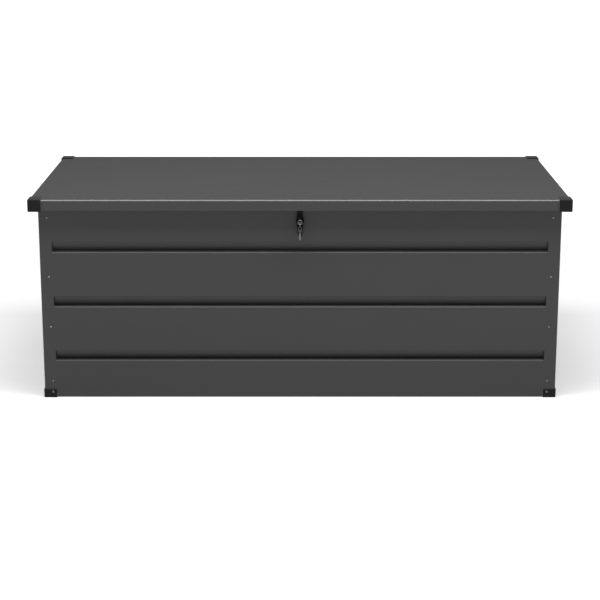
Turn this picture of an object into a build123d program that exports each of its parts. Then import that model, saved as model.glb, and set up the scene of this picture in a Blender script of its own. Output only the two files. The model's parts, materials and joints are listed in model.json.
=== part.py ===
from build123d import *
import os
from math import cos, radians, sin

# Deck storage box: a panelled steel chest on plastic corner feet, with a hinged steel lid on two
# gas struts and a cylinder lock with a turning handle. Millimetres, +Z up, X along the width,
# -Y towards the front. The origin is on the ground, under the middle of the overall size.

# ---------------------------------------------------------------- driving dimensions
lid_width = 1600.0
lid_depth = 700.0
height = 620.0
sheet = 1.0
plastic = 3.0

# body of the chest
body_width = 1547.0
body_front = -323.0
body_back = 334.0
body_low = 2.0
body_high = 600.0
bend = 3.0
return_depth = 14.0
rim_depth = 24.0
rim_lip = 12.0
base_flange = 22.0

# pressed ribs in the walls
rib_height = 32.5
rib_top_depth = 3.5
rib_low_depth = 15.0
rib_heights = (133.0, 301.0, 469.0)
rib_margin = 36.5
rib_end_run = 2.5
rib_top_run = 1.5
rib_low_run = 4.0
lip_bevel = 1.2

# pressed ribs in the floor
floor_width = 1541.0
floor_notch = 74.0
floor_rib_places = (-600.0, -300.0, 0.0, 300.0, 600.0)
floor_rib_length = 560.0
floor_rib_width = 40.0
floor_rib_depth = 6.0
floor_rib_run = 6.0

# corner posts, feet and screws
post_leg = 32.0
post_sheet = 1.5
foot_size = 40.0
foot_high = 26.0
foot_wall = 2.6
screw_inset = 25.5
screw_heights = (52.0, 222.0, 377.0, 559.0)
foot_screw_height = 18.0
screw_radius = 2.0
screw_hole = 2.1
head_radius = 3.3
head_high = 1.8
wall_screw_length = 9.0
foot_screw_length = 10.0

# lid
skirt_low = 585.0
lid_sheet_top = 617.0
lid_bend = 4.0
lid_bevel = 2.6
cap_inset = plastic
cap_size = 40.0
cap_low = 582.0
frame_low = 604.0
seal_width = 12.0
seal_high = 3.6
long_rail = 1540.0
cross_rail = 596.0
cross_rail_y = 5.0
stiffener_places = (-400.0, 0.0, 400.0)

# lid hinges
hinge_y = 340.0
hinge_z = 586.0
hinge_places = (-560.0, 0.0, 560.0)
leaf_width = 90.0
leaf_sheet = 2.0
knuckle_radius = 5.0
pin_radius = 2.5
running = 0.06
hinge_screw_z = 556.0
hinge_rivet_z = 604.0
hinge_screw_pitch = 30.0
knuckle_length = 29.7
knuckle_gap = 0.45
leaf_corner = 6.0
rail_span = 1280.0
rail_low = 530.0

# gas struts: both pivots lie on one circle about the hinge line, so a strut turns half as far as the lid
strut_x = 732.0
strut_circle = 250.0
strut_upper_angle = 1.83
strut_apex = 69.0
tube_radius = 9.0
tube_bore = 8.0
strut_rod_radius = 4.0
ball_radius = 5.0
ball_neck = 3.0
socket_radius = 8.0
socket_half = 7.0
tube_length = 235.0
rod_reach = 237.0
piston_length = 8.0
socket_shank = 5.5
socket_length = 20.0
bracket_stand = 26.5

# lock
lock_z = 550.0
lock_plate_width = 70.0
lock_plate_height = 68.0
housing_stand = 10.0
barrel_reach = 30.0
lock_nut_across = 27.0
lock_nut_thick = 6.0
cam_nut_across = 13.0
cam_nut_thick = 4.0
cam_sheet = 2.0
cam_reach = 35.0
cam_hub_radius = 10.0
cam_tip_radius = 7.0
tail_radius = 4.0
tail_length = 7.0
face_seat = 13.0
plug_length = 29.0
keeper_sheet = 1.5
keeper_low = 539.5
handle_low = 505.0
handle_high = 583.0
handle_front = -350.0
handle_back = -333.3
housing_radius = 12.0
barrel_radius = 9.0
spindle_radius = 6.0
spindle_end = -286.0
face_radius = 8.0
face_front = -353.0
plug_radius = 5.0
key_sheet = 1.8
key_width = 12.0
key_bow = 18.0
key_web = 2.0
key_reach = 23.0
blade_width = 6.0
blade_length = 19.0
key_cuts = (0.8, 1.5, 0.6, 1.2, 0.9)
ring_radius = 5.0
ring_wire = 0.65

half_width = lid_width / 2
half_depth = lid_depth / 2
half_body = body_width / 2
side_face = half_body - sheet
side_low = body_front + sheet + bend
side_high = body_back - sheet - bend
side_middle = (side_low + side_high) / 2
side_length = side_high - side_low
key_end = face_front - key_reach
ring_y = key_end + key_web / 2
ring_z = lock_z + key_sheet / 2 + 0.4 - (ring_radius - ring_wire)
front_reach = ring_y - ring_radius - ring_wire
origin = Pos(0, -(front_reach + half_depth) / 2, 0)
lid_under = lid_sheet_top - sheet


# ---------------------------------------------------------------- helpers
def block(x, y, z):
    """Box between the low and high limits given for each axis."""
    size = [high - low for low, high in (x, y, z)]
    middle = [(low + high) / 2 for low, high in (x, y, z)]
    return Pos(*middle) * Box(*size)


def around(middle, width):
    """Low and high limits of a width about its middle."""
    return middle - width / 2, middle + width / 2


def bar(start, direction, length, radius):
    """Round bar from a start point along a direction."""
    place = Plane(origin=start, z_dir=direction)
    return place * Cylinder(radius, length, align=(Align.CENTER, Align.CENTER, Align.MIN))


def save(name, shape):
    """Write one sub-part in the frame of the whole object."""
    solids = [origin * solid for solid in shape.solids()]
    part = solids[0] if len(solids) == 1 else Compound(children=solids)
    export_step(part, f"parts/{name}.step")


def pressed(length, tall, depths, end_run, top_run, low_run):
    """Tapered pocket pressed into a wall whose outer face is y = 0, going inwards along +Y.

    depths are the depths of the bed along its low and its high edge.
    """
    low = Vector(0, depths[0], low_run - tall / 2)
    high = Vector(0, depths[1], tall / 2 - top_run)
    rise = high - low
    bed_place = Plane(origin=(low + high) / 2, x_dir=(1, 0, 0), z_dir=(0, -rise.Z, rise.Y))
    mouth = Plane.XZ * RectangleRounded(length, tall, 2.5)
    bed = bed_place * RectangleRounded(length - 2 * end_run, rise.length, 1.5)
    return loft([mouth, bed], ruled=True)


def with_ribs(wall, length):
    """Press the three ribs into a wall and bevel the edges of their mouths."""
    runs = (rib_end_run, rib_top_run, rib_low_run)
    depths = (rib_low_depth, rib_top_depth)
    outer_depths = (rib_low_depth + sheet, rib_top_depth + sheet)
    outer = pressed(length + 2 * sheet, rib_height + 2 * sheet, outer_depths, *runs)
    pocket = pressed(length, rib_height, depths, *runs)
    for middle in rib_heights:
        wall += Pos(0, 0, middle) * outer
    for middle in rib_heights:
        wall -= Pos(0, 0, middle) * pocket
    mouths = [
        edge
        for edge in wall.edges()
        if edge.bounding_box().max.Y < 0.01
        and any(abs(edge.center().Z - middle) <= rib_height / 2 + 0.01 for middle in rib_heights)
        and abs(edge.center().X) <= length / 2 + 0.01
    ]
    return chamfer(mouths, lip_bevel)


def wall_panel(length, flange_length, rib_length, wraps):
    """Ribbed wall with a folded rim and base flange; its outer face is y = 0 and faces -Y."""
    tall = (body_low, body_high)
    if wraps:
        outside = block(around(0, length), (0, return_depth), tall)
        inside = block(around(0, length - 2 * sheet), (sheet, return_depth + 1), tall)
        outside = fillet(outside.edges().filter_by(Axis.Z).sort_by(Axis.Y)[:2], bend)
        inside = fillet(inside.edges().filter_by(Axis.Z).sort_by(Axis.Y)[:2], bend - sheet)
        wall = outside - inside
    else:
        wall = block(around(0, length), (0, sheet), tall)
    wall = with_ribs(wall, rib_length)
    span = around(0, flange_length)
    wall += block(span, (0, rim_depth), (body_high - sheet, body_high))
    wall += block(span, (rim_depth - sheet, rim_depth), (body_high - rim_lip, body_high))
    wall += block(span, (0, base_flange), (body_low, body_low + sheet))
    return wall


def pan_screw(radius, head, length):
    """Pan-head screw with a cross recess: head towards +Z from z = 0, shank towards -Z."""
    cap = extrude(Circle(head), head_high)
    cap = fillet(cap.faces().sort_by(Axis.Z)[-1].edges(), head_high * 0.6)
    shank = Pos(0, 0, -length / 2) * Cylinder(radius, length)
    slot = Box(head * 0.9, 0.9, 2.4) + Box(0.9, head * 0.9, 2.4)
    return cap + shank - Pos(0, 0, head_high) * slot


def facing(x, y, z, direction):
    """Location whose +Z points along a direction."""
    return Plane(origin=(x, y, z), x_dir=(0, 0, 1), z_dir=direction).location


def hat_section(length, crown, brim):
    """Stiffener under the lid along X: brims against the lid sheet, crown facing down."""
    span = around(0, length)
    section = block(span, around(0, crown), (frame_low, frame_low + sheet))
    for side in (-1, 1):
        web_y = side * (crown - sheet) / 2
        section += block(span, around(web_y, sheet), (frame_low, lid_under))
        brim_y = side * (crown + brim - sheet) / 2
        section += block(span, around(brim_y, brim + sheet), (lid_under - sheet, lid_under))
    return section


# ---------------------------------------------------------------- screw places
def corner_screws():
    """Places of the screws that hold the walls to the posts, each with its outward direction."""
    places = []
    for side in (-1, 1):
        for z in screw_heights:
            x = side * (half_body - screw_inset)
            places.append((x, body_front, z, (0, -1, 0)))
            places.append((x, body_back, z, (0, 1, 0)))
            for y in (body_front + screw_inset, body_back - screw_inset):
                places.append((side * side_face, y, z, (side, 0, 0)))
    return places


def foot_screws():
    """Places of the screws that hold the feet, on the outside of each foot."""
    places = []
    for side in (-1, 1):
        x = side * (half_body - screw_inset)
        places.append((x, body_front - foot_wall, foot_screw_height, (0, -1, 0)))
        places.append((x, body_back + foot_wall, foot_screw_height, (0, 1, 0)))
        for y in (body_front + screw_inset, body_back - screw_inset):
            places.append((side * (half_body + foot_wall), y, foot_screw_height, (side, 0, 0)))
    return places


def drilled(shape, places, radius=screw_hole, depth=12.0):
    """Cut the clearance holes of those screws that reach a shape."""
    box = shape.bounding_box()
    for x, y, z, out in places:
        near = box.min.X - 8 < x < box.max.X + 8 and box.min.Y - 8 < y < box.max.Y + 8
        if near and box.min.Z < z < box.max.Z:
            shape -= bar((x + 3 * out[0], y + 3 * out[1], z), (-out[0], -out[1], 0), depth + 3, radius)
    return shape


def screw_group(places, length):
    """Identical screws at their places, as one group of separate solids."""
    screw = pan_screw(screw_radius, head_radius, length)
    return Compound(children=[facing(x, y, z, out) * screw for x, y, z, out in places])


def hinge_fasteners(z, y, direction):
    """Three fasteners across each hinge leaf."""
    offsets = (-hinge_screw_pitch, 0, hinge_screw_pitch)
    return [(x + offset, y, z, direction) for x in hinge_places for offset in offsets]


wall_places = corner_screws()
foot_places = foot_screws()
leaf_places = hinge_fasteners(hinge_screw_z, body_back + leaf_sheet, (0, 1, 0))
rivet_places = hinge_fasteners(hinge_rivet_z, half_depth - cap_inset, (0, 1, 0))
all_places = wall_places + foot_places + leaf_places


# ---------------------------------------------------------------- walls, floor and posts
def front_panel():
    wall = Pos(0, body_front, 0) * wall_panel(body_width, 1520, body_width - 2 * rib_margin, True)
    wall -= bar((0, body_front - 1, lock_z), (0, 1, 0), 4, barrel_radius + 0.2)
    return drilled(wall, all_places)


def back_panel():
    wall = wall_panel(body_width, 1520, body_width - 2 * rib_margin, True)
    return drilled(Pos(0, body_back, 0) * Rot(0, 0, 180) * wall, all_places)


def side_panel(side):
    flange_length = body_back - body_front - 2 * rim_depth - 1
    rib_length = body_back - body_front - 2 * rib_margin + 1
    wall = wall_panel(side_length, flange_length, rib_length, False)
    place = Pos(side * side_face, side_middle, 0) * Rot(0, 0, side * 90)
    return drilled(place * wall, all_places)


def floor_panel():
    """Floor sheet on the base flanges, notched round the posts, with ribs pressed upwards."""
    low = body_low + sheet
    tray = block(around(0, floor_width), (body_front + 2, body_back - 2), (low, low + sheet))
    for side in (-1, 1):
        for y in (body_front, body_back):
            tray -= block(around(side * half_body, floor_notch), around(y, floor_notch), (low - 1, low + 2))
    runs = (floor_rib_run, floor_rib_run, floor_rib_run)
    upper = (floor_rib_depth + sheet, floor_rib_depth + sheet)
    lower = (floor_rib_depth, floor_rib_depth)
    crest = pressed(floor_rib_length + 2 * sheet, floor_rib_width + 2 * sheet, upper, *runs)
    pocket = pressed(floor_rib_length, floor_rib_width, lower, *runs)
    places = [Pos(x, side_middle, low) * Rot(0, 0, 90) * Rot(90, 0, 0) for x in floor_rib_places]
    for place in places:
        tray += place * crest
    for place in places:
        tray -= place * pocket
    return tray


def nearest_upright(solid, x, y):
    """Upright edge of a solid nearest to a point on plan."""
    upright = solid.edges().filter_by(Axis.Z)
    return upright.sort_by(lambda edge: (edge.center() - Vector(x, y, edge.center().Z)).length)[0]


def corner_post(side, front):
    """Folded angle inside a corner, from the base flanges to the rim."""
    x = side * (side_face - sheet)
    y = body_front + sheet if front else body_back - sheet
    inward = 1 if front else -1
    tall = (body_low + sheet + 0.2, body_high - sheet - 0.2)

    def legs(inset):
        xs = sorted((x - side * inset, x - side * (post_leg + inset)))
        ys = sorted((y + inward * inset, y + inward * (post_leg + inset)))
        return block(xs, ys, tall)

    outside = legs(0)
    inside = legs(post_sheet)
    outside = fillet(nearest_upright(outside, x, y), bend)
    inside = fillet(nearest_upright(inside, x, y), bend - post_sheet)
    return drilled(outside - inside, wall_places + foot_places)


def corner_foot(side, front):
    """Moulded shoe: two walls outside the panels and a sole under them."""
    outer_x = side * (half_body + foot_wall)
    outer_y = body_front - foot_wall if front else body_back + foot_wall
    inward = 1 if front else -1
    xs = sorted((outer_x, outer_x - side * foot_size))
    ys = sorted((outer_y, outer_y + inward * foot_size))
    shoe = block(xs, ys, (0, foot_high))
    shoe = fillet(nearest_upright(shoe, outer_x, outer_y), bend + foot_wall - 1)
    panels = block(
        sorted((outer_x - side * foot_wall, outer_x - side * (foot_size + 1))),
        sorted((outer_y + inward * foot_wall, outer_y + inward * (foot_size + 1))),
        (body_low, foot_high + 1),
    )
    shoe -= fillet(nearest_upright(panels, outer_x, outer_y), bend - 0.2)
    rim = [edge for edge in shoe.edges() if abs(edge.center().Z - foot_high) < 0.01]
    shoe = fillet([edge for edge in rim if on_outer_face(edge, outer_x, outer_y)], 0.8)
    return drilled(shoe, foot_places)


def on_outer_face(edge, x, y):
    """True for an edge on the outer faces of a corner piece or on their shared corner."""
    box = edge.bounding_box()
    on_x = abs(box.min.X - x) < 0.01 and abs(box.max.X - x) < 0.01
    on_y = abs(box.min.Y - y) < 0.01 and abs(box.max.Y - y) < 0.01
    touches = min(abs(box.min.X - x), abs(box.max.X - x)) < 0.01
    touches = touches and min(abs(box.min.Y - y), abs(box.max.Y - y)) < 0.01
    return on_x or on_y or touches


def rim_seal():
    """Four foam strips on the rim of the opening."""
    tall = (body_high, body_high + seal_high)
    inset = rim_depth / 2
    long_span = around(0, 1514)
    end_span = (body_front + rim_depth + 3, body_back - rim_depth - 3)
    front = block(long_span, around(body_front + inset, seal_width), tall)
    back = block(long_span, around(body_back - inset, seal_width), tall)
    ends = [block(around(side * (side_face - inset), seal_width), end_span, tall) for side in (-1, 1)]
    strips = [fillet(strip.faces().sort_by(Axis.Z)[-1].edges(), 1.5) for strip in (front, back, *ends)]
    return Compound(children=strips)


# ---------------------------------------------------------------- hinges
def hinge_rail():
    """Strip inside the back wall that the hinge screws bite into."""
    inner = body_back - sheet
    strip = block(around(0, rail_span), (inner - post_sheet, inner), (rail_low, body_high - rim_lip - 2))
    return drilled(strip, leaf_places, screw_radius)


def knuckle(x, width, bore):
    """One rolled knuckle of a hinge."""
    start = (x - width / 2, hinge_y, hinge_z)
    return bar(start, (1, 0, 0), width, knuckle_radius) - bar(start, (1, 0, 0), width, bore)


def hinge_box_leaf(x):
    """Leaf screwed to the back wall, with the two outer knuckles."""
    plate = block(around(x, leaf_width), (body_back, body_back + leaf_sheet), (hinge_screw_z - 13, hinge_z))
    plate = fillet(plate.edges().filter_by(Axis.Y).sort_by(Axis.Z)[:2], leaf_corner)
    notch = knuckle_length + 2 * knuckle_gap
    plate -= block(around(x, notch), (body_back - 1, hinge_y), (hinge_z - 7, hinge_z + 1))
    for side in (-1, 1):
        middle = x + side * (knuckle_length + knuckle_gap)
        plate += knuckle(middle, knuckle_length, pin_radius)
        start = (middle - knuckle_length / 2, hinge_y, hinge_z)
        plate -= bar(start, (1, 0, 0), knuckle_length, pin_radius)
    return drilled(plate, leaf_places)


def hinge_lid_leaf(x):
    """Leaf riveted inside the rear skirt, with the middle knuckle."""
    outer = half_depth - cap_inset - sheet
    width = knuckle_length - knuckle_gap
    bore = pin_radius + running
    thick = (outer - leaf_sheet, outer)
    plate = block(around(x, leaf_width), thick, (hinge_z + 7, hinge_rivet_z + 8))
    plate = fillet(plate.edges().filter_by(Axis.Y).sort_by(Axis.Z)[-2:], leaf_corner)
    plate += block(around(x, width), thick, (hinge_z, hinge_z + 8))
    plate += knuckle(x, width, bore)
    plate -= bar((x - width, hinge_y, hinge_z), (1, 0, 0), 2 * width, bore)
    return drilled(plate, rivet_places)


def hinge_pin(x):
    """Pin through the three knuckles, with a button head at each end."""
    pin = bar((x - 45.2, hinge_y, hinge_z), (1, 0, 0), 90.4, pin_radius)
    for side in (-1, 1):
        head = bar((x + side * 45.1, hinge_y, hinge_z), (side, 0, 0), 2, 3.6)
        pin += fillet(head.faces().sort_by(Axis.X)[-1 if side > 0 else 0].edges(), 1.2)
    return pin


def lid_rivets():
    """Dome-head rivets through the rear skirt and the lid leaves."""
    stem = Pos(0, 0, -1.5) * Cylinder(2.0, 3)
    dome = extrude(Circle(4), 1.6)
    dome = fillet(dome.faces().sort_by(Axis.Z)[-1].edges(), 1.4)
    tail = Pos(0, 0, -3 - 0.8) * Cylinder(3.2, 1.6)
    rivet = dome + stem + tail
    return Compound(children=[facing(x, y, z, out) * rivet for x, y, z, out in rivet_places])


# ---------------------------------------------------------------- lid
def lid_sheet():
    """Lid pressed from one sheet, with a skirt all round that is folded over in two steps."""

    def shell(inset, low, radius, bevel):
        span = around(0, lid_width - 2 * (cap_inset + inset))
        depth = around(0, lid_depth - 2 * (cap_inset + inset))
        solid = block(span, depth, (low, lid_sheet_top - inset))
        solid = fillet(solid.edges().filter_by(Axis.Z), radius)
        return chamfer(solid.faces().sort_by(Axis.Z)[-1].edges(), bevel)

    inner_bevel = lid_bevel - 0.6 * sheet
    outside = shell(0, skirt_low, lid_bend, lid_bevel)
    lid = outside - shell(sheet, skirt_low - 1, lid_bend - sheet, inner_bevel)
    return drilled(lid, rivet_places)


def lid_cap(side, front):
    """Moulded corner cover over the top and the two skirts."""
    inward = 1 if front else -1
    outer_x = side * half_width
    outer_y = -inward * half_depth

    def cube(inset, low, size):
        xs = sorted((outer_x - side * inset, outer_x - side * size))
        ys = sorted((outer_y + inward * inset, outer_y + inward * size))
        return block(xs, ys, (low, height - inset))

    def rounded(solid, x, y, z, radius):
        top = [edge for edge in solid.edges() if abs(edge.center().Z - z) < 0.01]
        outer = [edge for edge in top if on_outer_face(edge, x, y)]
        return fillet([nearest_upright(solid, x, y), *outer], radius)

    inner_x = outer_x - side * plastic
    inner_y = outer_y + inward * plastic
    outside = rounded(cube(0, cap_low, cap_size), outer_x, outer_y, height, lid_bend + 1)
    inside = cube(plastic, cap_low - 1, cap_size + 1)
    return outside - rounded(inside, inner_x, inner_y, height - plastic, lid_bevel)


def lid_rail(name):
    """Hat-section rail under one edge of the lid."""
    rails = {
        "front": Pos(0, -311, 0) * hat_section(long_rail, 14, 8),
        "back": Pos(0, 320, 0) * hat_section(long_rail, 8, 8),
        "left": Pos(-760, cross_rail_y, 0) * Rot(0, 0, 90) * hat_section(cross_rail, 8, 7),
        "right": Pos(760, cross_rail_y, 0) * Rot(0, 0, 90) * hat_section(cross_rail, 8, 7),
    }
    return rails[name]


def lid_stiffener(x):
    """Hat-section stiffener from front to back under the lid."""
    return Pos(x, cross_rail_y, 0) * Rot(0, 0, 90) * hat_section(cross_rail, 40, 15)


def lid_keeper():
    """Hook under the middle stiffener that the lock's cam catches."""
    front = spindle_end + 3.3
    back = front + keeper_sheet
    width = (20, 40)
    flange = block((-18, 40), (front, front + 24.7), (frame_low - keeper_sheet, frame_low))
    hanger = block(width, (front, back), (keeper_low, frame_low))
    hook = block(width, (front - 6.3, back), (keeper_low, keeper_low + keeper_sheet))
    return flange + hanger + hook


# ---------------------------------------------------------------- gas struts
def on_strut_circle(angle):
    """Y and Z at an angle below the level line through the hinge, in front of it."""
    turn = radians(angle)
    return hinge_y - strut_circle * cos(turn), hinge_z - strut_circle * sin(turn)


upper_y, upper_z = on_strut_circle(-strut_upper_angle)
lower_y, lower_z = on_strut_circle(strut_apex - strut_upper_angle)


def ball_stud(y, z, plate_x):
    """Ball on a neck that stands inwards from a bracket plate on the left side."""
    ball = Pos(-strut_x, y, z) * Sphere(ball_radius)
    neck = bar((-plate_x, y, z), (1, 0, 0), plate_x - strut_x - 2, ball_neck)
    return ball + neck


def strut_lower_bracket():
    """Stamped bracket standing off the left side wall, with its ball stud."""
    wall = side_face - sheet
    face = wall - bracket_stand
    depth = around(lower_y, 40)
    plate = block((-face - 2, -face), depth, around(lower_z, 40))
    for end in (-1, 1):
        plate += block((-wall, -face), depth, around(lower_z + end * 19, 2))
        plate += block((-wall, 2 - wall), depth, around(lower_z + end * 24, 12))
    return plate + ball_stud(lower_y, lower_z, face + 1)


def strut_upper_bracket():
    """Angle bracket under the left of the lid, with its ball stud."""
    lid_under = lid_sheet_top - sheet
    face = strut_x + 11
    depth = around(upper_y, 36)
    plate = block((-face - 2, -face), depth, (upper_z - 8, lid_under))
    plate += block((-face - 2, 28 - face), depth, (lid_under - 2, lid_under))
    return plate + ball_stud(upper_y, upper_z, face + 1)


def socket(y, z, along):
    """Ball socket of the left strut with a shank along it, opened for the ball and its neck."""
    body = bar((-strut_x - socket_half, y, z), (1, 0, 0), 2 * socket_half, socket_radius)
    body += bar((-strut_x, y, z), along, socket_length, socket_shank)
    body -= Pos(-strut_x, y, z) * Sphere(ball_radius + running)
    body -= bar((-strut_x, y, z), (-1, 0, 0), socket_half + 2, ball_neck + 0.9)
    return body


strut_run = Vector(0, lower_y - upper_y, lower_z - upper_z).normalized()


def strut_tube():
    """Left pressure tube hung from the lid: socket, hollow tube and guide bush."""
    centre = Vector(-strut_x, upper_y, upper_z)
    start = centre + strut_run * (socket_length - 2)
    tube = bar(start, strut_run, tube_length + 2, tube_radius)
    tube = fillet(tube.edges(), 1.5)
    tube -= bar(centre + strut_run * (socket_length + 3), strut_run, tube_length - 11, tube_bore)
    tube -= bar(start, strut_run, tube_length + 4, strut_rod_radius + running)
    closed_end = bar(start, strut_run, 4, tube_bore)
    return socket(upper_y, upper_z, strut_run) + tube + closed_end


def strut_rod():
    """Left polished rod standing on the side wall's ball: socket, rod and piston."""
    centre = Vector(-strut_x, lower_y, lower_z)
    rod = bar(centre - strut_run * socket_length / 2, -strut_run, rod_reach, strut_rod_radius)
    piston = bar(centre - strut_run * rod_reach, -strut_run, piston_length, tube_bore - 0.1)
    return socket(lower_y, lower_z, -strut_run) + rod + piston


# ---------------------------------------------------------------- lock
def lock_plate():
    """Square backing plate behind the front wall."""
    inner = body_front + sheet
    size_x = around(0, lock_plate_width)
    size_z = around(lock_z - 1, lock_plate_height)
    plate = block(size_x, (inner, inner + post_sheet), size_z)
    plate = fillet(plate.edges().filter_by(Axis.Y), 5)
    return plate - bar((0, inner - 1, lock_z), (0, 1, 0), 4, barrel_radius + 0.2)


def lock_housing():
    """Round escutcheon outside the wall and the threaded barrel through it."""
    base = bar((0, body_front, lock_z), (0, -1, 0), housing_stand, housing_radius)
    base = fillet(base.faces().sort_by(Axis.Y)[0].edges(), 1.5)
    base += bar((0, body_front, lock_z), (0, 1, 0), barrel_reach, barrel_radius)
    start = body_front - housing_stand - 1
    length = housing_stand + barrel_reach + 2
    return base - bar((0, start, lock_z), (0, 1, 0), length, spindle_radius + running)


def hex_nut(start_y, across, thick, bore):
    """Hexagon nut on the lock's axis."""
    place = Plane(origin=(0, start_y, lock_z), x_dir=(1, 0, 0), z_dir=(0, 1, 0))
    outline = RegularPolygon(across / 2, 6, major_radius=False) - Circle(bore)
    return extrude(place * outline, thick)


def lock_handle():
    """Boat-shaped upright lever, broadest at the cylinder."""
    place = Plane(origin=(0, handle_back, 0), x_dir=(1, 0, 0), z_dir=(0, -1, 0))
    rounds = ((7.5, handle_high - 7.5), (11.0, lock_z + 1), (6.0, handle_low + 6.0))
    outline = make_hull([edge for r, z in rounds for edge in (Pos(0, z) * Circle(r)).edges()])
    lever = extrude(place * outline, handle_back - handle_front)
    lever = fillet(lever.faces().sort_by(Axis.Y)[0].edges(), 4)
    lever -= bar((0, handle_front - 1, lock_z), (0, 1, 0), face_seat + 1, face_radius)
    return lever - bar((0, handle_front - 1, lock_z), (0, 1, 0), 20, spindle_radius)


def lock_cylinder():
    """Bright cylinder face with a spindle that carries the cam."""
    seat = handle_front + face_seat
    face = bar((0, seat, lock_z), (0, -1, 0), seat - face_front, face_radius)
    face = fillet(face.faces().sort_by(Axis.Y)[0].edges(), 1.5)
    spindle = bar((0, seat - 1, lock_z), (0, 1, 0), spindle_end - seat + 1, spindle_radius)
    tail = bar((0, spindle_end - 1, lock_z), (0, 1, 0), tail_length, tail_radius)
    bore = bar((0, face_front - 1, lock_z), (0, 1, 0), 31, plug_radius + running)
    return face + spindle + tail - bore


def lock_cam():
    """Tongue behind the wall, upright while the lid is free."""
    place = Plane(origin=(0, spindle_end, lock_z), x_dir=(1, 0, 0), z_dir=(0, 1, 0))
    hub = Circle(cam_hub_radius).edges()
    tip = (Pos(0, -cam_reach) * Circle(cam_tip_radius)).edges()
    return extrude(place * (make_hull([*hub, *tip]) - Circle(tail_radius)), cam_sheet)


def lock_plug():
    """Turning plug with a level keyway."""
    plug = bar((0, face_front - 0.5, lock_z), (0, 1, 0), plug_length, plug_radius)
    return plug - block(around(0, 6.8), (face_front - 1, face_front + 24.6), around(lock_z, 2.5))


def key_shape():
    """Flat key: bow with a slotted hole, neck and blade. The bow's end is at 0, the blade along +Y."""
    blade_start = key_bow + 3
    blade_end = blade_start + blade_length
    bow = Pos(0, key_bow / 2) * SlotCenterToCenter(key_bow - key_width, key_width, rotation=90)
    hole = Pos(0, key_web + 3.25) * SlotCenterToCenter(1.5, 5, rotation=90)
    neck = Pos(0, key_bow + 1) * Rectangle(7, 6)
    blade = Pos(0, (blade_start + blade_end) / 2) * Rectangle(blade_width, blade_length)
    tip = Pos(0, blade_end) * Rotation(0, 0, 45) * Rectangle(3.4, 3.4)
    outline = bow + neck + blade + tip
    for step, cut in enumerate(key_cuts):
        notch_side = 1.4 * cut
        place = Pos(blade_width / 2 + 0.2, blade_start + 4 + 3 * step) * Rotation(0, 0, 45)
        outline -= place * Rectangle(notch_side, notch_side)
    flat = extrude(outline - hole, key_sheet)
    return Pos(0, 0, -key_sheet / 2) * flat


def key():
    """Key in the lock, its bow level."""
    return Pos(0, key_end, lock_z) * key_shape()


def key_ring():
    """Wire ring through the bow of the key in the lock."""
    return Pos(0, ring_y, ring_z) * Rot(0, 90, 0) * Torus(ring_radius, ring_wire)


def spare_key():
    """Second key, hanging flat from the ring."""
    top = ring_z - ring_radius + ring_wire + 0.35 + key_web
    return Pos(0, ring_y, top) * Rot(-90, 0, 0) * key_shape()


# ---------------------------------------------------------------- write every sub-part
sides = {"left": -1, "right": 1}
lock_nut_y = body_front + sheet + post_sheet
parts = {
    "front_panel": front_panel(),
    "back_panel": back_panel(),
    "floor_panel": floor_panel(),
    "rim_seal": rim_seal(),
    "hinge_rail": hinge_rail(),
    "wall_screws": screw_group(wall_places, wall_screw_length),
    "foot_screws": screw_group(foot_places, foot_screw_length),
    "hinge_screws": screw_group(leaf_places, wall_screw_length),
    "lid_sheet": lid_sheet(),
    "lid_rivets": lid_rivets(),
    "lid_keeper": lid_keeper(),
    "lock_plate": lock_plate(),
    "lock_housing": lock_housing(),
    "lock_nut": hex_nut(lock_nut_y, lock_nut_across, lock_nut_thick, barrel_radius),
    "lock_handle": lock_handle(),
    "lock_cylinder": lock_cylinder(),
    "lock_cam": lock_cam(),
    "cam_nut": hex_nut(spindle_end + cam_sheet, cam_nut_across, cam_nut_thick, tail_radius),
    "lock_plug": lock_plug(),
    "key": key(),
    "key_ring": key_ring(),
    "spare_key": spare_key(),
}
for name, side in sides.items():
    parts[f"{name}_panel"] = side_panel(side)
    for end, front in (("front", True), ("back", False)):
        parts[f"corner_post_{end}_{name}"] = corner_post(side, front)
        parts[f"corner_foot_{end}_{name}"] = corner_foot(side, front)
        parts[f"lid_cap_{end}_{name}"] = lid_cap(side, front)
for maker in (strut_lower_bracket, strut_upper_bracket, strut_tube, strut_rod):
    left = maker()
    parts[f"{maker.__name__}_left"] = left
    parts[f"{maker.__name__}_right"] = mirror(left, about=Plane.YZ)
for number, x in enumerate(hinge_places, 1):
    parts[f"hinge_box_leaf_{number}"] = hinge_box_leaf(x)
    parts[f"hinge_lid_leaf_{number}"] = hinge_lid_leaf(x)
    parts[f"hinge_pin_{number}"] = hinge_pin(x)
for number, x in enumerate(stiffener_places, 1):
    parts[f"lid_stiffener_{number}"] = lid_stiffener(x)
for name in ("front", "back", "left", "right"):
    parts[f"lid_rail_{name}"] = lid_rail(name)

os.makedirs("parts", exist_ok=True)
for name, shape in parts.items():
    save(name, shape)
print(len(parts), "sub-parts")
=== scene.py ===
import json
import math

import bmesh
import bpy
from mathutils import Matrix, Vector


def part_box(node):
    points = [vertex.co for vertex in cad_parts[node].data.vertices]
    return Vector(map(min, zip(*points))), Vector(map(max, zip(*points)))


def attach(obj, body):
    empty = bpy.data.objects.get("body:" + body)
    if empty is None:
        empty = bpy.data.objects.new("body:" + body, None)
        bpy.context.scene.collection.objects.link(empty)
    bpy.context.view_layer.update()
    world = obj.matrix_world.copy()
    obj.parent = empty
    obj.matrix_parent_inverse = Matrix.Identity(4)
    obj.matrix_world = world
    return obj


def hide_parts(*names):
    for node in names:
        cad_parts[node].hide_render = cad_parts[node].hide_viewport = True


# Deck storage box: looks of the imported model. Metres, +Z up, X along the width, -Y to the front.

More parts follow.
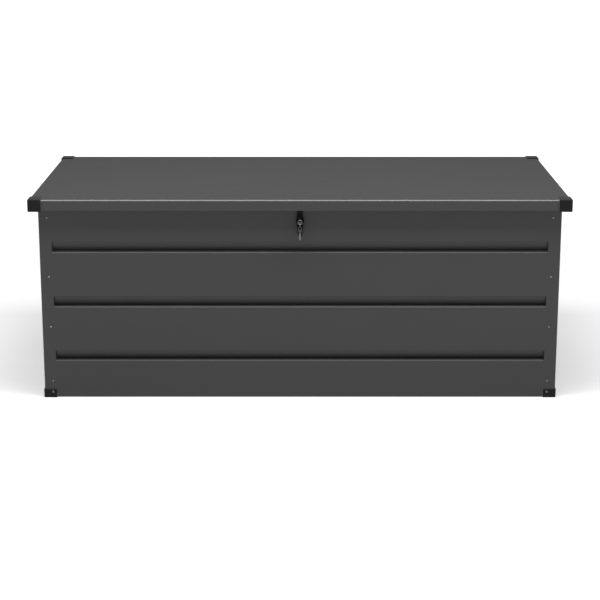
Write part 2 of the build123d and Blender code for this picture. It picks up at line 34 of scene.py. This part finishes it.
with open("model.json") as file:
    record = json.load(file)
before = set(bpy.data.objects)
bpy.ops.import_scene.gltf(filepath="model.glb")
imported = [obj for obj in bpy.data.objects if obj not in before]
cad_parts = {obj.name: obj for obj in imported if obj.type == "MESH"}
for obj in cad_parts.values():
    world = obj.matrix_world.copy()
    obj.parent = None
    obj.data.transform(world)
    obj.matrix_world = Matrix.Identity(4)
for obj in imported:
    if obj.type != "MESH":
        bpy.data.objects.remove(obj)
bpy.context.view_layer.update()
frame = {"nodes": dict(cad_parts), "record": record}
nodes = frame["nodes"]
slots = {part["node"]: part["material_slot"] for part in frame["record"]["subparts"]}


# ---------------------------------------------------------------- material helpers
class Shader:
    """A node material under construction: makes nodes and links them in one call each."""

    def __init__(self, name):
        self.material = bpy.data.materials.new(name)
        self.material.use_nodes = True
        self.tree = self.material.node_tree
        self.tree.nodes.clear()
        self.output = self.tree.nodes.new("ShaderNodeOutputMaterial")
        self.surface = self.tree.nodes.new("ShaderNodeBsdfPrincipled")
        self.tree.links.new(self.surface.outputs[0], self.output.inputs["Surface"])
        self.place = self.tree.nodes.new("ShaderNodeTexCoord").outputs["Object"]

    def put(self, target, value):
        """Set a socket to a number or colour, or link it to another socket."""
        if isinstance(value, bpy.types.NodeSocket):
            self.tree.links.new(value, target)
        else:
            target.default_value = value

    def node(self, kind, settings=None, **inputs):
        """New node; inputs are given by name with underscores for spaces."""
        made = self.tree.nodes.new(kind)
        for key, value in (settings or {}).items():
            setattr(made, key, value)
        for key, value in inputs.items():
            self.put(made.inputs[key.replace("_", " ")], value)
        return made

    def scaled(self, scale):
        """Object coordinates stretched by a scale for each axis."""
        mapping = self.node("ShaderNodeMapping", Vector=self.place, Scale=scale)
        return mapping.outputs[0]

    def noise(self, scale, detail=2.0, roughness=0.5, place=None):
        made = self.node(
            "ShaderNodeTexNoise",
            Vector=place or self.place, Scale=scale, Detail=detail, Roughness=roughness,
        )
        return made.outputs[0]

    def cells(self, scale):
        return self.node("ShaderNodeTexVoronoi", Vector=self.place, Scale=scale)

    def spread(self, value, low, high, start=0.0, end=1.0):
        """Map a value's range start..end to low..high."""
        made = self.node("ShaderNodeMapRange", Value=value)
        for key, number in (("From Min", start), ("From Max", end), ("To Min", low), ("To Max", high)):
            made.inputs[key].default_value = number
        return made.outputs[0]

    def add(self, first, second):
        made = self.node("ShaderNodeMath", {"operation": "ADD"})
        self.put(made.inputs[0], first)
        self.put(made.inputs[1], second)
        return made.outputs[0]

    def mix(self, factor, first, second):
        made = self.node("ShaderNodeMix", {"data_type": "RGBA"})
        self.put(made.inputs[0], factor)
        self.put(made.inputs[6], first)
        self.put(made.inputs[7], second)
        return made.outputs[2]

    def bump(self, height, distance, strength):
        return self.node("ShaderNodeBump", Height=height, Distance=distance, Strength=strength).outputs[0]

    def finish(self, **inputs):
        """Set the surface shader's own sockets."""
        for key, value in inputs.items():
            self.put(self.surface.inputs[key.replace("_", " ")], value)
        return self.material


def grey(level, alpha=1.0):
    return (level, level, level, alpha)


# ---------------------------------------------------------------- materials
def coated_steel():
    """Dark grey satin powder coat: fine orange peel, faint tone drift, a trace of dust."""
    s = Shader("coated steel")
    drift = s.noise(1.3, 2.0, 0.5)
    grain = s.noise(420.0, 2.0, 0.6)
    tone = s.mix(s.spread(drift, 0.0, 1.0, 0.3, 0.7), grey(0.034), grey(0.037))
    tone = s.mix(s.spread(grain, 0.0, 0.35, 0.35, 0.75), tone, grey(0.047))
    peel = s.bump(s.noise(700.0, 3.0, 0.6), 0.0003, 0.3)
    rough = s.spread(s.noise(9.0, 4.0, 0.6), 0.36, 0.42, 0.3, 0.7)
    return s.finish(Base_Color=tone, Roughness=rough, Normal=peel, Specular_IOR_Level=0.5)


def black_plastic():
    """Moulded black plastic with a fine spark-eroded grain."""
    s = Shader("moulded black plastic")
    grain = s.noise(1100.0, 3.0, 0.7)
    tone = s.mix(s.spread(grain, 0.0, 1.0, 0.3, 0.7), grey(0.006), grey(0.010))
    normal = s.bump(grain, 0.0003, 0.5)
    rough = s.spread(s.noise(60.0, 3.0, 0.6), 0.42, 0.54, 0.3, 0.7)
    return s.finish(
        Base_Color=tone, Roughness=rough, Normal=normal, Specular_IOR_Level=0.16,
        Sheen_Weight=0.35, Sheen_Roughness=0.35,
    )


def foam():
    """Closed-cell black foam."""
    s = Shader("seal foam")
    cells = s.cells(900.0)
    tone = s.mix(s.spread(cells.outputs["Distance"], 0.0, 1.0), grey(0.012), grey(0.03))
    normal = s.bump(cells.outputs["Distance"], 0.0005, 0.8)
    return s.finish(Base_Color=tone, Roughness=0.85, Normal=normal)


def zinc():
    """Zinc-plated steel with a faint spangle and rubbed streaks."""
    s = Shader("zinc plate")
    spangle = s.cells(240.0)
    streak = s.noise(60.0, 4.0, 0.6, s.scaled((1.0, 1.0, 14.0)))
    tone = s.mix(spangle.outputs["Color"], (0.34, 0.345, 0.35, 1), (0.43, 0.43, 0.42, 1))
    rough = s.spread(streak, 0.30, 0.46, 0.3, 0.7)
    normal = s.bump(streak, 0.0002, 0.2)
    return s.finish(Base_Color=tone, Metallic=1.0, Roughness=rough, Normal=normal)


def dark_zinc():
    """Dull dark zinc on the pan-head screws."""
    s = Shader("dark zinc")
    patch = s.noise(700.0, 3.0, 0.6)
    tone = s.mix(s.spread(patch, 0.0, 1.0, 0.35, 0.65), grey(0.19), grey(0.28))
    rough = s.spread(patch, 0.32, 0.48, 0.3, 0.7)
    return s.finish(Base_Color=tone, Metallic=1.0, Roughness=rough, Normal=s.bump(patch, 0.0001, 0.3))


def bright_metal():
    """Bright plate with hairline polishing marks."""
    s = Shader("bright plate")
    marks = s.noise(500.0, 3.0, 0.6, s.scaled((1.0, 20.0, 1.0)))
    tone = s.mix(marks, grey(0.66), grey(0.74))
    rough = s.spread(marks, 0.10, 0.22, 0.3, 0.7)
    return s.finish(Base_Color=tone, Metallic=1.0, Roughness=rough, Normal=s.bump(marks, 0.0001, 0.15))


def nickel():
    """Nickel-plated key stock, worn darker in the scratches."""
    s = Shader("nickel plate")
    marks = s.noise(350.0, 4.0, 0.65, s.scaled((6.0, 1.0, 1.0)))
    smudge = s.noise(130.0, 3.0, 0.6)
    tone = s.mix(marks, (0.15, 0.147, 0.143, 1), (0.27, 0.265, 0.255, 1))
    tone = s.mix(s.spread(smudge, 0.0, 0.6, 0.45, 0.7), tone, (0.12, 0.118, 0.115, 1))
    rough = s.spread(marks, 0.22, 0.40, 0.3, 0.7)
    return s.finish(Base_Color=tone, Metallic=1.0, Roughness=rough, Normal=s.bump(marks, 0.0002, 0.3))


def key_grip():
    """Dark grey moulded cover with a fine matt grain and thumb wear."""
    s = Shader("key grip")
    grain = s.noise(1400.0, 3.0, 0.7)
    worn = s.noise(160.0, 3.0, 0.6)
    tone = s.mix(s.spread(grain, 0.0, 1.0, 0.3, 0.7), grey(0.040), grey(0.056))
    tone = s.mix(s.spread(worn, 0.0, 0.5, 0.5, 0.75), tone, grey(0.075))
    normal = s.bump(grain, 0.0002, 0.4)
    return s.finish(Base_Color=tone, Roughness=0.5, Normal=normal, Specular_IOR_Level=0.3)


def lock_nickel():
    """Dark satin nickel on the lock's cylinder, with turned rings."""
    s = Shader("lock nickel")
    turned = s.noise(900.0, 2.0, 0.5, s.scaled((1.0, 0.1, 1.0)))
    tone = s.mix(turned, grey(0.08), grey(0.14))
    rough = s.spread(turned, 0.24, 0.36, 0.3, 0.7)
    return s.finish(Base_Color=tone, Metallic=1.0, Roughness=rough, Normal=s.bump(turned, 0.0001, 0.3))


def lock_black():
    """Semi-gloss black coating on die-cast metal."""
    s = Shader("lock black")
    grain = s.noise(900.0, 2.0, 0.5)
    tone = s.mix(s.spread(grain, 0.0, 1.0, 0.3, 0.7), grey(0.002), grey(0.004))
    rough = s.spread(s.noise(120.0, 3.0, 0.6), 0.36, 0.48, 0.3, 0.7)
    normal = s.bump(grain, 0.0002, 0.25)
    return s.finish(Base_Color=tone, Roughness=rough, Normal=normal, Specular_IOR_Level=0.06)


def strut_black():
    """Black gloss paint on a drawn tube."""
    s = Shader("strut black")
    grain = s.noise(700.0, 2.0, 0.5)
    tone = s.mix(s.spread(grain, 0.0, 1.0, 0.3, 0.7), grey(0.008), grey(0.013))
    rough = s.spread(s.noise(40.0, 3.0, 0.6), 0.16, 0.26, 0.3, 0.7)
    return s.finish(Base_Color=tone, Roughness=rough, Normal=s.bump(grain, 0.0001, 0.2), Coat_Weight=0.4)


materials = {
    "coated_steel": coated_steel(),
    "black_plastic": black_plastic(),
    "seal_foam": foam(),
    "zinc_steel": zinc(),
    "dark_zinc": dark_zinc(),
    "bright_metal": bright_metal(),
    "nickel": nickel(),
    "key_grip": key_grip(),
    "lock_nickel": lock_nickel(),
    "lock_black": lock_black(),
    "strut_black": strut_black(),
}

for name, node in nodes.items():
    node.data.materials.clear()
    node.data.materials.append(materials[slots[name]])


# ---------------------------------------------------------------- helpers for new pieces
joints = frame["record"]["behaviour"]["joints"]
joint_places = {joint["name"]: Vector(joint["pos_m"]) for joint in joints if "pos_m" in joint}
SHARP = math.radians(35)


def box_middle(node):
    low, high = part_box(node)
    return (Vector(low) + Vector(high)) / 2


def add_piece(name, mesh, body, slot, *replaced):
    """Put a mesh into the scene as a piece that rides on a body and stands for CAD nodes."""
    piece = bpy.data.objects.new(name, mesh)
    bpy.context.scene.collection.objects.link(piece)
    mesh.materials.clear()
    mesh.materials.append(materials[slot])
    mesh.polygons.foreach_set("use_smooth", [True] * len(mesh.polygons))
    mesh.set_sharp_from_angle(angle=SHARP)
    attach(piece, body)
    if replaced:
        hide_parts(*replaced)
    return piece


def mesh_of(shape, name):
    """Finish a bmesh as mesh data with its normals pointing outwards."""
    bmesh.ops.recalc_face_normals(shape, faces=shape.faces)
    mesh = bpy.data.meshes.new(name)
    shape.to_mesh(mesh)
    shape.free()
    return mesh


def axes(origin, x, y, z):
    """Matrix that takes local X, Y and Z to the given directions at an origin."""
    matrix = Matrix((x, y, z)).transposed().to_4x4()
    matrix.translation = origin
    return matrix


def skin(shape, rings, closed_ends):
    """Quads between rings of equal length, with a fan over each closed end."""
    rows = [[shape.verts.new(point) for point in ring] for ring in rings]
    count = len(rows[0])
    for first, second in zip(rows, rows[1:]):
        for i in range(count):
            j = (i + 1) % count
            shape.faces.new((first[i], first[j], second[j], second[i]))
    if closed_ends:
        shape.faces.new(rows[0][::-1])
        shape.faces.new(rows[-1])


def lathe(shape, profile, place, steps=40):
    """Turn a profile of (distance along local Z, radius) about local Z."""
    rings = []
    for along, radius in profile:
        ring = []
        for i in range(steps):
            turn = 2 * math.pi * i / steps
            ring.append(place @ Vector((radius * math.cos(turn), radius * math.sin(turn), along)))
        rings.append(ring)
    skin(shape, rings, True)


def wire(shape, path, radius, steps=10):
    """Round wire along a smooth path of points, with flat ends."""
    rings = []
    side = None
    for i, point in enumerate(path):
        run = (path[min(i + 1, len(path) - 1)] - path[max(i - 1, 0)]).normalized()
        side = run.orthogonal() if side is None else side - run * side.dot(run)
        side.normalize()
        other = run.cross(side)
        angles = [2 * math.pi * k / steps for k in range(steps)]
        rings.append([point + radius * (math.cos(a) * side + math.sin(a) * other) for a in angles])
    skin(shape, rings, True)


# ---------------------------------------------------------------- keys and split ring
MM = 0.001


def cut_plate(outlines, thick, bevel):
    """Flat plate from closed outlines in millimetres, later ones being holes, with bevelled edges."""
    curve = bpy.data.curves.new("outline", "CURVE")
    curve.dimensions = "2D"
    curve.fill_mode = "BOTH"
    for points in outlines:
        spline = curve.splines.new("POLY")
        spline.points.add(len(points) - 1)
        for target, (x, y) in zip(spline.points, points):
            target.co = (x * MM, y * MM, 0, 1)
        spline.use_cyclic_u = True
    curve.extrude = (thick / 2 - bevel) * MM
    curve.bevel_depth = bevel * MM
    curve.bevel_resolution = 1
    curve.offset = -bevel * MM
    holder = bpy.data.objects.new("outline", curve)
    mesh = bpy.data.meshes.new_from_object(holder)
    bpy.data.objects.remove(holder)
    bpy.data.curves.remove(curve)
    return mesh


def arc(x, y, radius, start, end, steps=16):
    angles = [math.radians(start + (end - start) * i / steps) for i in range(steps + 1)]
    return [(x + radius * math.cos(a), y + radius * math.sin(a)) for a in angles]


def rounded_slot(half, low, high, radius):
    """Outline of an upright slot with rounded corners."""
    points = []
    for side, level, start in ((1, low, 270), (1, high, 0), (-1, high, 90), (-1, low, 180)):
        inner = level + radius if level == low else level - radius
        points += arc(side * (half - radius), inner, radius, start, start + 90, 8)
    return points


def plates(layers, name, place):
    """One mesh of bevelled plates that share a middle plane, moved to its place."""
    shape = bmesh.new()
    for outlines, thick, bevel in layers:
        plate = cut_plate(outlines, thick, bevel)
        shape.from_mesh(plate)
        bpy.data.meshes.remove(plate)
    shape.transform(place)
    mesh = bpy.data.meshes.new(name)
    shape.to_mesh(mesh)
    shape.free()
    return mesh


def key_metal(reach):
    """Outlines of a key's metal: bow with its hole, ridges beside the groove, cuts, and the thin web.

    Outlines run along +Y from the end of the bow, at 0, to the tip of the blade, at reach.
    """
    bow_half, bow_low, bow_high = 5.0, 5.8, 13.0
    neck_half, neck_start, neck_end = 3.0, 18, 22.4
    bow = arc(0, bow_high, bow_half, 0, 50)
    bow += [(neck_half, neck_start), (neck_half, neck_end)]
    bow += [(-neck_half, neck_end), (-neck_half, neck_start)]
    bow += arc(0, bow_high, bow_half, 130, 180) + arc(0, bow_low, bow_half, 180, 360, 32)

    blade_half, groove_half, blade_start = 3.0, 0.7, 21
    shoulder, tip = reach - 2.6, reach - 1.2
    ridge = [(-blade_half, blade_start), (-groove_half, blade_start)]
    ridge += [(-groove_half, tip), (-blade_half, shoulder)]
    cut_pitch, cut_foot, cut_mouth = 3.0, 0.5, 1.3
    cuts = [(groove_half, tip), (blade_half, shoulder)]
    for step, deep in enumerate((0.9, 1.4, 0.6, 1.2, 0.8)):
        middle = shoulder - 2.4 - cut_pitch * step
        cuts += [(blade_half, middle + cut_mouth), (blade_half - deep, middle + cut_foot)]
        cuts += [(blade_half - deep, middle - cut_foot), (blade_half, middle - cut_mouth)]
    cuts += [(blade_half, blade_start), (groove_half, blade_start)]
    web = [(-2.6, 20), (1.4, 20), (1.4, reach - 0.9), (0, reach), (-2.6, shoulder)]
    return bow, ridge, cuts, web


def key_grip_outline():
    """Moulded grip that leaves the loop at the end of the bow bare for the ring."""
    half, high, bare = 5.7, 13, 4.6
    grip = arc(0, high, half, -10, 55) + [(3.6, 20.0), (3.4, 22.0), (-3.4, 22.0), (-3.6, 20.0)]
    grip += arc(0, high, half, 125, 190)
    grip += [(-half, bare + 0.8), (-4.9, bare), (-3.9, bare), (-3.3, bare + 0.6)]
    grip += arc(-0.75, 7.8, 2.55, 180, 90, 8) + arc(0.75, 7.8, 2.55, 90, 0, 8)
    return grip + [(3.3, bare + 0.6), (3.9, bare), (4.9, bare), (half, bare + 0.8)]


def key_piece(name, node, body, bow_end, along, flat):
    """Cut key with its grip, from the end of the bow along one direction, flat to another."""
    low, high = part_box(node)
    reach = abs((Vector(high) - Vector(low)).dot(along)) / MM
    bow, ridge, cuts, web = key_metal(reach)
    hole = rounded_slot(3.25, 2.0, 10.3, 2.5)
    metal = (([bow, hole], 1.4, 0.1), ([ridge], 1.8, 0.15), ([cuts], 1.8, 0.15), ([web], 1.0, 0.05))
    grip = (([key_grip_outline()], 2.4, 0.5),)
    centre = box_middle(node)
    start = centre + along * (bow_end.dot(along) - centre.dot(along))
    place = axes(start, along.cross(flat), along, flat)
    add_piece(name, plates(metal, name, place), body, "nickel", node)
    add_piece(f"{name}_cover", plates(grip, f"{name}_cover", place), body, "key_grip")


def split_ring():
    """Double-turn wire ring, its two turns side by side and its ends stepped over each other."""
    low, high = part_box("key_ring")
    centre = box_middle("key_ring")
    wire_radius = (high[0] - low[0]) / 4
    radius = (high[2] - low[2]) / 2 - wire_radius
    all_turns, step_start, step_run, overlap = 1.94, 0.86, 0.2, 1.02
    path = []
    steps = 150
    for i in range(steps + 1):
        turns = all_turns * i / steps
        turn = 2 * math.pi * turns
        shift = 2 * min(max((turns - step_start) / step_run, 0), 1) - 1
        offset = Vector((shift * wire_radius * overlap, radius * math.cos(turn), radius * math.sin(turn)))
        path.append(centre + offset)
    shape = bmesh.new()
    wire(shape, path, wire_radius)
    add_piece("split_key_ring", mesh_of(shape, "split_key_ring"), "key_ring", "nickel", "key_ring")


def keys():
    front, down, up = Vector((0, 1, 0)), Vector((0, 0, -1)), Vector((0, 0, 1))
    key_piece("key_in_lock", "key", "key", Vector(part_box("key")[0]), front, up)
    key_piece("hanging_key", "spare_key", "key_ring", Vector(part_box("spare_key")[1]), down, front)
    split_ring()


# ---------------------------------------------------------------- handle
def handle():
    """Boat-shaped lever with a domed crown and a seat for the cylinder."""
    low, high = (Vector(corner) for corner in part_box("lock_handle"))
    centre = box_middle("lock_cylinder")
    half = (high.x - low.x) / 2
    deep = high.y - low.y
    top_radius, low_radius = 0.68 * half, 0.55 * half
    circles = (
        (Vector((0, high.z - top_radius)), top_radius),
        (Vector((0, centre.z + MM)), half),
        (Vector((0, low.z + low_radius)), low_radius),
    )
    steps = 72

    def outline(inset):
        points = []
        for i in range(steps):
            turn = 2 * math.pi * i / steps
            out = Vector((math.cos(turn), math.sin(turn)))
            middle, radius = max(circles, key=lambda circle: circle[0].dot(out) + circle[1])
            points.append(middle + out * (radius - inset))
        return points

    def ring(points, y):
        return [Vector((p.x, y, p.y)) for p in points]

    def seat(radius):
        turns = [2 * math.pi * i / steps for i in range(steps)]
        return [Vector((radius * math.cos(t), centre.z + radius * math.sin(t))) for t in turns]

    back_bevel, crown_inset, crown_steps = 0.6 * MM, 4.6 * MM, 8
    crown_start, crown_rise = high.y - 0.5 * deep, 0.42 * deep
    bore, face, seat_deep = 6.0 * MM, 8.0 * MM, 9 * MM
    rings = [ring(seat(bore), high.y), ring(outline(back_bevel), high.y)]
    rings += [ring(outline(0.0), high.y - back_bevel), ring(outline(0.0), crown_start)]
    for k in range(1, crown_steps):
        turn = math.radians(90 * k / crown_steps)
        inset = crown_inset * (1 - math.cos(turn))
        rings.append(ring(outline(inset), crown_start - crown_rise * math.sin(turn)))
    rings.append(ring(seat(face + 0.7 * MM), low.y))
    rings.append(ring(seat(face + 0.15 * MM), low.y + 0.4 * MM))
    rings.append(ring(seat(face + 0.1 * MM), low.y + seat_deep))
    rings.append(ring(seat(bore), low.y + seat_deep))
    shape = bmesh.new()
    skin(shape, rings, False)
    add_piece("domed_handle", mesh_of(shape, "domed_handle"), "handle", "lock_black", "lock_handle")


# ---------------------------------------------------------------- gas struts
# Profiles are pairs of (distance along the axis, radius) in millimetres.
TUBE_LENGTH = 255.0
TUBE_PROFILE = (
    (8, 3.5), (9, 5.0), (16, 5.5), (19.2, 5.6), (19.6, 7.6), (21.5, 9.0), (27, 9.0), (28, 8.3),
    (29.5, 8.3), (30.5, 9.0), (214, 9.0), (215, 8.3), (216.5, 8.3), (217.5, 9.0), (231, 9.0),
    (232, 8.4), (233.5, 8.4), (234.5, 9.0), (248, 9.0), (251.5, 8.2), (253, 6.6), (253.4, 4.6), (250, 4.2),
)
SOCKET_PROFILE = (
    (7.2, 3.9), (7.2, 6.9), (6.4, 7.8), (5.3, 8.0), (5.0, 7.6), (4.2, 7.6), (3.9, 8.0), (-5.6, 8.0),
    (-6.6, 7.4), (-7.0, 6.2), (-7.0, 0.6),
)


def corners(node):
    xs, ys, zs = zip(*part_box(node))
    return [Vector((x, y, z)) for x in xs for y in ys for z in zs]


def ball_socket(shape, place, outward, run):
    """Rounded cup about the ball, open on the side where the ball's neck enters."""
    matrix = axes(place, run, outward.cross(run), outward)
    lathe(shape, [(along * MM, radius * MM) for along, radius in SOCKET_PROFILE], matrix, 36)


def crimped_tube(side, upper, outward, run):
    """Pressure tube with rolled crimps and the ball socket at its upper end."""
    name, node = f"crimped_tube_{side}", f"strut_tube_{side}"
    tube_end = max((corner - upper).dot(run) for corner in corners(node)) / MM
    scale = tube_end / TUBE_LENGTH
    shape = bmesh.new()
    profile = [(along * scale * MM, radius * MM) for along, radius in TUBE_PROFILE]
    lathe(shape, profile, axes(upper, outward, run.cross(outward), run))
    ball_socket(shape, upper, outward, run)
    add_piece(name, mesh_of(shape, name), node, "strut_black", node)


def socket_clip(name, body, place, outward, run):
    """Spring wire clip round a ball socket, with one end standing off as a tail."""
    groove_place, clip_radius, tail, gauge = 4.6 * MM, 8.35 * MM, 3 * MM, 0.55 * MM
    first, sweep, steps = -52, 284, 48
    clip = axes(place + outward * groove_place, run.cross(outward), run, outward)
    angles = [math.radians(first + sweep * i / steps) for i in range(steps + 1)]
    path = [clip @ Vector((clip_radius * math.cos(a), -clip_radius * math.sin(a), 0)) for a in angles]
    path.append(path[-1] + (path[-1] - path[-2]).normalized() * tail)
    shape = bmesh.new()
    wire(shape, path, gauge)
    add_piece(name, mesh_of(shape, name), body, "zinc_steel")


def strut_parts(side):
    """One gas strut's tube and the clips of both its sockets."""
    lower = joint_places[f"rod_pivot_{side}"]
    upper = joint_places[f"tube_pivot_{side}"]
    run = (lower - upper).normalized()
    outward = Vector((-1 if side == "left" else 1, 0, 0))
    crimped_tube(side, upper, outward, run)
    socket_clip(f"upper_socket_clip_{side}", f"strut_tube_{side}", upper, outward, run)
    socket_clip(f"lower_socket_clip_{side}", f"strut_rod_{side}", lower, outward, -run)


# ---------------------------------------------------------------- foam seal
def seal_strip(name, start, end, tall, count, *replaced):
    """One strip of ribbed foam laid by hand, so never dead straight, from one end to the other."""
    width, steps, points = 0.012, 90, 25
    end_crush = 0.9
    run = (end - start).normalized()
    across = Vector((0, 0, 1)).cross(run)
    rings = []
    for i in range(steps + 1):
        t = i / steps
        sway = 0.0004 * math.sin(23 * t + 1.7 * count) + 0.0002 * math.sin(61 * t + count)
        crush = 1 - 0.06 * (0.5 + 0.5 * math.sin(37 * t + 2.1 * count))
        if i in (0, steps):
            crush *= end_crush
        middle = start + run * (end - start).length * t
        ring = []
        for k in range(points):
            w = k / (points - 1)
            ridge = 0.86 + 0.14 * abs(math.cos(3 * math.pi * w))
            rise = tall * crush * ridge * math.sin(math.pi * w) ** 0.3
            ring.append(middle + across * (sway + (w - 0.5) * width) + Vector((0, 0, rise)))
        rings.append(ring)
    shape = bmesh.new()
    skin(shape, rings, True)
    add_piece(name, mesh_of(shape, name), "box", "seal_foam", *replaced)


def seal():
    """Four strips of seal on the rim, the side ones ending short of the front and back ones."""
    low, high = (Vector(corner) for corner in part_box("rim_seal"))
    half_width, side_inset, side_end = 0.006, 0.013, 0.016
    strips = [
        ("front", (low.x, low.y + half_width), (high.x, low.y + half_width)),
        ("back", (low.x, high.y - half_width), (high.x, high.y - half_width)),
    ]
    for name, inset in (("left", side_inset), ("right", -side_inset)):
        x = Vector(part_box(f"{name}_panel")[0 if name == "left" else 1]).x + inset
        strips.append((name, (x, low.y + side_end), (x, high.y - side_end)))
    for count, (name, start, end) in enumerate(strips):
        replaced = ["rim_seal"] if name == "front" else []
        start, end = Vector((*start, low.z)), Vector((*end, low.z))
        seal_strip(f"foam_seal_{name}", start, end, high.z - low.z, count, *replaced)


keys()
handle()
for side in ("left", "right"):
    strut_parts(side)
seal()


# ---------------------------------------------------------------- floor, light and camera
def studio_floor():
    """Plain white floor that brightens away from the object, large enough for every view.

    It glows more to the camera than to the object, so that the background comes out near white.
    """
    mesh = bpy.data.meshes.new("floor")
    floor = bpy.data.objects.new("floor", mesh)
    bpy.context.scene.collection.objects.link(floor)
    shape = bmesh.new()
    bmesh.ops.create_grid(shape, x_segments=1, y_segments=1, size=60.0)
    shape.to_mesh(mesh)
    shape.free()
    glow_start, glow_full = 0.9, 3.5
    glow_level, camera_glow = 0.72, 0.34
    s = Shader("studio floor")
    mottle = s.noise(3.0, 2.0)
    tone = s.mix(s.spread(mottle, 0.0, 1.0, 0.3, 0.7), grey(0.51), grey(0.53))
    away = s.node("ShaderNodeVectorMath", {"operation": "LENGTH"}, Vector=s.place).outputs["Value"]
    seen = s.node("ShaderNodeLightPath").outputs["Is Camera Ray"]
    glow = s.add(s.spread(away, 0.0, glow_level, glow_start, glow_full), s.spread(seen, 0.0, camera_glow))
    look = s.finish(
        Base_Color=tone, Roughness=0.6, Specular_IOR_Level=0.2,
        Emission_Color=grey(1.0), Emission_Strength=glow,
    )
    mesh.materials.append(look)


def area_light(name, place, aim, size, power):
    """Rectangular light at a place, turned to shine at a point."""
    data = bpy.data.lights.new(name, "AREA")
    data.shape = "RECTANGLE"
    data.size, data.size_y = size
    data.energy = power
    lamp = bpy.data.objects.new(name, data)
    lamp.location = place
    lamp.rotation_mode = "QUATERNION"
    lamp.rotation_quaternion = (Vector(aim) - Vector(place)).to_track_quat("-Z", "Y")
    bpy.context.scene.collection.objects.link(lamp)


def studio():
    """White surround that lights gently, with one long soft bank overhead and a little in front."""
    world = bpy.data.worlds.new("studio")
    world.use_nodes = True
    background = world.node_tree.nodes["Background"]
    background.inputs["Color"].default_value = grey(1.0)
    seen = world.node_tree.nodes.new("ShaderNodeLightPath").outputs["Is Camera Ray"]
    level = world.node_tree.nodes.new("ShaderNodeMapRange")
    lighting_level, camera_level = 0.20, 1.0
    level.inputs["To Min"].default_value = lighting_level
    level.inputs["To Max"].default_value = camera_level
    world.node_tree.links.new(seen, level.inputs["Value"])
    world.node_tree.links.new(level.outputs[0], background.inputs["Strength"])
    bpy.context.scene.world = world
    area_light("overhead", (0, -0.95, 3.1), (0, -0.4, 0.4), (4.4, 0.9), 187)
    bpy.context.scene.view_settings.view_transform = "Standard"
    bpy.context.scene.view_settings.look = "None"


def camera():
    """The photograph's viewpoint: in front, a little above, with a long lens."""
    lens, shift, distance, height, pitch = 91.0, -0.1205, 4.688, 1.557, 13.26
    data = bpy.data.cameras.new("camera")
    data.sensor_width = 36.0
    data.lens = lens
    data.shift_y = shift
    eye = bpy.data.objects.new("camera", data)
    middle_of_lid = (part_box("lid_sheet")[0].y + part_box("lid_sheet")[1].y) / 2
    eye.location = (0.0, middle_of_lid - distance, height)
    eye.rotation_euler = (math.radians(90 - pitch), 0, 0)
    bpy.context.scene.collection.objects.link(eye)
    bpy.context.scene.camera = eye


camera()
studio_floor()
studio()
